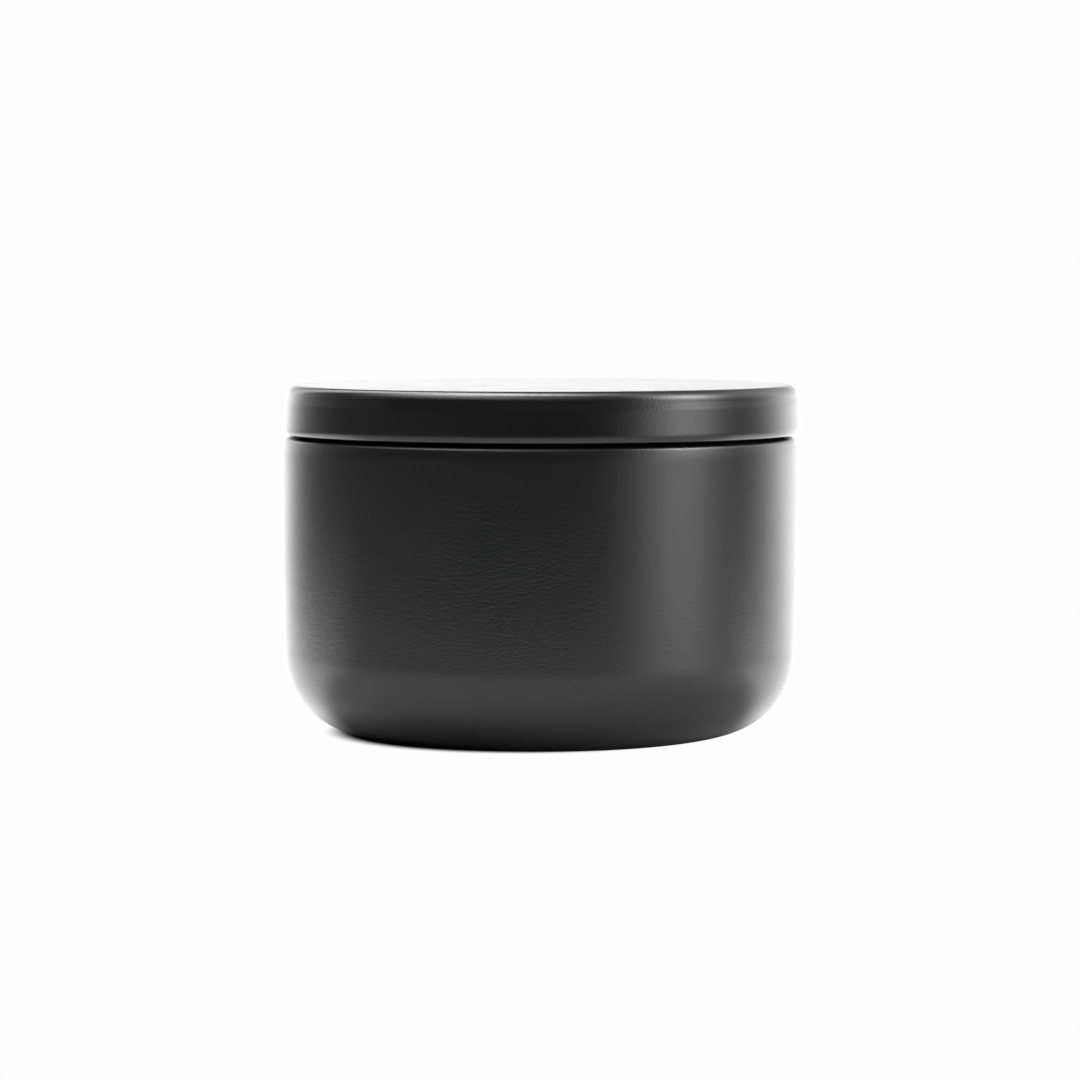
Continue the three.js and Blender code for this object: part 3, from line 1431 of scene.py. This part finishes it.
@dataclass(frozen=True)
class Glow:
    """A soft-edged patch of light on the studio's walls or ceiling.

    Attributes:
        azimuth: Degrees from the camera's side, positive to the right.
        elevation: Degrees above the floor.
        width: Half width, as the sine of the angle at which it has fallen to 1 / e.
        height: Half height, in the same way.
        radiance: How bright its middle is, where 1 is white.
        roll: Degrees that it is turned about its own middle.
    """

    azimuth: float
    elevation: float
    width: float
    height: float
    radiance: float
    roll: float = 0.0

    def axes(self) -> tuple[Vector, Vector, Vector]:
        """The directions that the light is laid out on.

        Returns:
            Unit vectors to its middle, along its width and along its height.
        """
        azimuth, elevation = math.radians(self.azimuth), math.radians(self.elevation)
        flat = math.cos(elevation)
        middle = Vector((math.sin(azimuth) * flat, -math.cos(azimuth) * flat, math.sin(elevation)))
        across = Vector((0, 0, 1)).cross(middle).normalized()
        turn = Quaternion(middle, math.radians(self.roll))
        return middle, turn @ across, turn @ middle.cross(across)

    def light(self, shader: Shader, direction: Sock) -> Sock:
        """Its radiance in a direction.

        Formula: radiance * exp(-(x / width)^2 - (y / height)^2) on its own half of the sky, with x and y
        the direction's parts along its width and its height.

        Args:
            shader: The world's shader.
            direction: A unit vector.

        Returns:
            The radiance.
        """
        ahead, x, y = (shader.dot(direction, axis) for axis in self.axes())
        falloff = (x * (1 / self.width)) ** 2 + (y * (1 / self.height)) ** 2
        front = shader.node("ShaderNodeMath", {"operation": "GREATER_THAN"}, {0: ahead, 1: 0.0})
        glow = shader.node("ShaderNodeMath", {"operation": "EXPONENT"}, {0: falloff * -1.0})
        return glow * front * self.radiance


@dataclass
class Studio:
    """A white table, a dim room with soft lights round it, and the camera.

    Table and room are plain white to the camera, but for a painted contact shadow. Reflections show the
    lights instead.

    Attributes:
        distance: Camera to the tin's axis, along the floor.
        eye_height: Camera above the floor.
        eye_side: Camera beside the tin's axis.
        pitch: Downward tilt of the camera in degrees.
        lens: Focal length.
        picture_width: Width of the picture that the focal length is meant for.
        table_size: Side of the table.
        table_white: How bright table and room are to the camera.
        shadow_albedo: Share of the light that the table gives back in the painted contact shadow, a dark
            disc.
        shadow_offset: How far the painted contact shadow's middle lies to the left of the tin's axis.
        shadow_edges: Radii between which the painted contact shadow fades out.
        mirror_albedo: Share of the light that the table gives back in reflections.
        mirror_radius: Up to here the table is seen in reflections.
        mirror_end: From here on reflections show the room instead.
        back_glow: How much light the table's back part gives off in reflections.
        back_edges: Places along the Y axis between which that light sets in.
        foot_edges: Radii between which it sets in.
        room_radiance: How bright the room is between the lights.
        key: Soft light at the right, low, level with the tin.
        key_above: Brighter light over it.
        right_wall: Wall behind the tin at the right.
        left_wall: Wall behind the tin at the left.
        rim: Light from high up behind the tin.
        ceiling: Large light overhead, a little to the left.
        left_fill: Faint light low on the left.
        horizon: Bright strip level with the lid, behind the tin.
        front: Light from high up in front of the tin.
    """

    distance: float = 577.5
    eye_height: float = 68.4
    eye_side: float = 0.03
    pitch: float = 3.92
    lens: float = 127.9
    picture_width: float = 36.0
    table_size: float = 12000.0
    table_white: float = 0.985
    shadow_albedo: float = 0.05
    shadow_offset: float = 3.0
    shadow_edges: tuple[float, float] = (25.8, 30.0)
    mirror_albedo: float = 0.5
    mirror_radius: float = 60.0
    mirror_end: float = 350.0
    back_glow: float = 1.5
    back_edges: tuple[float, float] = (-16.0, -5.0)
    foot_edges: tuple[float, float] = (29.0, 37.0)
    room_radiance: float = 0.017
    key: Glow = Glow(66, 4, 0.28, 0.37, 3.8, -45)
    key_above: Glow = Glow(79, 38, 0.2, 0.32, 13.5, -37)
    right_wall: Glow = Glow(142, -4, 0.42, 0.76, 2.6, 27)
    left_wall: Glow = Glow(-163, -2, 0.25, 0.6, 2.1, -73)
    rim: Glow = Glow(-150, 59, 0.14, 0.53, 6.7)
    ceiling: Glow = Glow(-104, 78, 0.25, 0.34, 14)
    left_fill: Glow = Glow(-67, -7, 0.78, 0.29, 0.2, 15)
    horizon: Glow = Glow(180, 4, 0.35, 0.14, 0.6)
    front: Glow = Glow(-38, 54, 0.42, 0.24, 3.4)

    def lights(self) -> tuple[Glow, ...]:
        """Every light in the room."""
        walls = (self.right_wall, self.left_wall, self.left_fill, self.horizon)
        return (self.key, self.key_above, self.rim, self.ceiling, self.front) + walls

    def add_camera(self) -> None:
        """Makes the camera and gives it to the scene."""
        data = bpy.data.cameras.new("camera")
        data.lens = self.lens
        data.sensor_width = self.picture_width
        camera = bpy.data.objects.new("camera", data)
        camera.location = Vector((self.eye_side, -self.distance, self.eye_height)) * MM
        camera.rotation_euler = (math.radians(90 - self.pitch), 0, 0)
        bpy.context.scene.collection.objects.link(camera)
        bpy.context.scene.camera = camera

    def table_finish(self) -> bpy.types.Material:
        """A white table with a painted contact shadow, a dark disc; the table fades out of reflections at a
        distance.

        Returns:
            The material.
        """
        material, shader = new_finish("white_table")
        place = shader.object_coordinates()
        away = shader.axis_distance(place)
        across = shader.node("ShaderNodeSeparateXYZ", {}, {0: place}, "Y")
        moved = {"Vector": place, "Location": (self.shadow_offset * MM, 0.0, 0.0)}
        from_shadow = shader.axis_distance(shader.node("ShaderNodeMapping", {"vector_type": "POINT"}, moved))
        outside = shader.ease(from_shadow, *(edge * MM for edge in self.shadow_edges))
        ended = shader.ease(away, self.mirror_radius * MM, self.mirror_end * MM)
        behind = shader.ease(across, *(edge * MM for edge in self.back_edges))
        clear_of_foot = shader.ease(away, *(edge * MM for edge in self.foot_edges))
        # painted shadow: a nearly black disc, set to the left of the tin's axis, stands in for the contact
        # shadow
        shadow = shader.node("ShaderNodeBsdfDiffuse", {}, {"Color": grey(self.shadow_albedo)})
        white = shader.node("ShaderNodeEmission", {}, {"Color": grey(self.table_white), "Strength": 1.0})
        clear = shader.node("ShaderNodeBsdfTransparent", {}, {"Color": grey(1.0)})
        dim = shader.node("ShaderNodeBsdfDiffuse", {}, {"Color": grey(self.mirror_albedo)})
        glow = behind * clear_of_foot * self.back_glow
        backlit = shader.node("ShaderNodeEmission", {}, {"Color": grey(1.0), "Strength": glow})
        # the camera sees the painted shadow on white; reflections see it on the lit table, a painted
        # reflection of shade
        seen = shader.node("ShaderNodeMixShader", {}, {0: outside, 1: shadow, 2: white})
        lit_with_painted_shadow = shader.node("ShaderNodeMixShader", {}, {0: outside, 1: shadow, 2: dim})
        near = shader.node("ShaderNodeAddShader", {}, {0: lit_with_painted_shadow, 1: backlit})
        mirrored = shader.node("ShaderNodeMixShader", {}, {0: ended, 1: near, 2: clear})
        both = shader.node("ShaderNodeMixShader", {}, {0: self.to_camera(shader), 1: mirrored, 2: seen})
        shader.node("ShaderNodeOutputMaterial", {}, {"Surface": both})
        return material

    @staticmethod
    def to_camera(shader: Shader) -> Sock:
        """1 for what the camera sees directly and 0 for reflections and light."""
        return shader.node("ShaderNodeLightPath", {}, {}, "Is Camera Ray")

    def add_table(self) -> None:
        """Lays the table under the tin."""
        half = self.table_size / 2 * MM
        mesh = bpy.data.meshes.new("table")
        corners = [(-half, -half, 0), (half, -half, 0), (half, half, 0), (-half, half, 0)]
        mesh.from_pydata(corners, [], [(0, 1, 2, 3)])
        mesh.materials.append(self.table_finish())
        table = bpy.data.objects.new("table", mesh)
        bpy.context.scene.collection.objects.link(table)

    def add_surroundings(self) -> None:
        """Makes the room: dim with soft patches of light, and plain white to the camera."""
        world = bpy.data.worlds.new("studio")
        world.use_nodes = True
        bpy.context.scene.world = world
        shader = Shader(world.node_tree)
        direction = shader.node("ShaderNodeTexCoord", {}, {}, "Generated")
        room = self.room_radiance + sum(glow.light(shader, direction) for glow in self.lights())
        strength = room + (self.table_white - room) * self.to_camera(shader)
        shade = shader.node("ShaderNodeBackground", {}, {"Color": grey(1.0), "Strength": strength})
        shader.node("ShaderNodeOutputWorld", {}, {"Surface": shade})

    def build(self) -> None:
        """Makes the whole studio."""
        self.add_camera()
        self.add_surroundings()
        self.add_table()
        bpy.context.scene.view_settings.view_transform = "Standard"


# ---- Assembly -----------------------------------------------------------------------------------


@dataclass
class Finishes:
    """The finishes of the whole candle tin.

    Attributes:
        tin_paint: Outside of the tin.
        lid_paint: Outside of the lid, a little glossier.
        inside: Inside of tin and lid, and their cut edges.
        stamped: The wick's sustainer.
        wax: The poured candle.
        cotton: The wick.
        foam: The sticker under the sustainer.
    """

    tin_paint: SatinBlack = SatinBlack("tin_paint", 0.26, Drawing.UP_THE_WALL)
    lid_paint: SatinBlack = SatinBlack("lid_paint", 0.19, Drawing.ROUND_THE_AXIS)
    inside: Tinplate = Tinplate("bare_inside")
    stamped: Tinplate = Tinplate("stamped_tinplate", 0.35, marks=(1.0, 0.05, 1.0))
    wax: SoyWax = SoyWax()
    cotton: WaxedCotton = WaxedCotton()
    foam: StickerFoam = StickerFoam()


def build_candle_tin() -> list[bpy.types.Object]:
    """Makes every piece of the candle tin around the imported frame.

    Returns:
        The pieces.
    """
    random = np.random.default_rng(SEED)
    finishes = Finishes()
    bare = finishes.inside.make()
    tin_radius, _, rim_top = node_size("tin_body")
    tin = TinBody(tin_radius, rim_top)
    lid = Lid(*node_size("lid"))
    sustainer = Sustainer(*node_size("wick_sustainer"))
    sticker = Sticker(*node_size("wick_sticker"))
    _, _, wax_top = node_size("wax")
    _, wick_bottom, wick_top = node_size("wick")
    return [
        tin.build(finishes.tin_paint.make(), bare),
        lid.build(finishes.lid_paint.make(), bare),
        Wax(tin, wax_top, sustainer, sticker).build(finishes.wax.make(), random),
        Wick(wick_bottom, wick_top, wax_top).build(finishes.cotton.make(), random),
        sustainer.build(finishes.stamped.make()),
        sticker.build(finishes.foam.make()),
    ]


def main() -> None:
    """Loads the frame, builds the studio and the candle tin, and reports each piece."""
    logging.basicConfig(level=logging.INFO, format="%(name)s: %(message)s")
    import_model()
    Studio().build()
    for piece in build_candle_tin():
        LOG.info("%s: %d vertices, %d faces", piece.name, len(piece.data.vertices), len(piece.data.polygons))


if __name__ == "__main__":
    main()
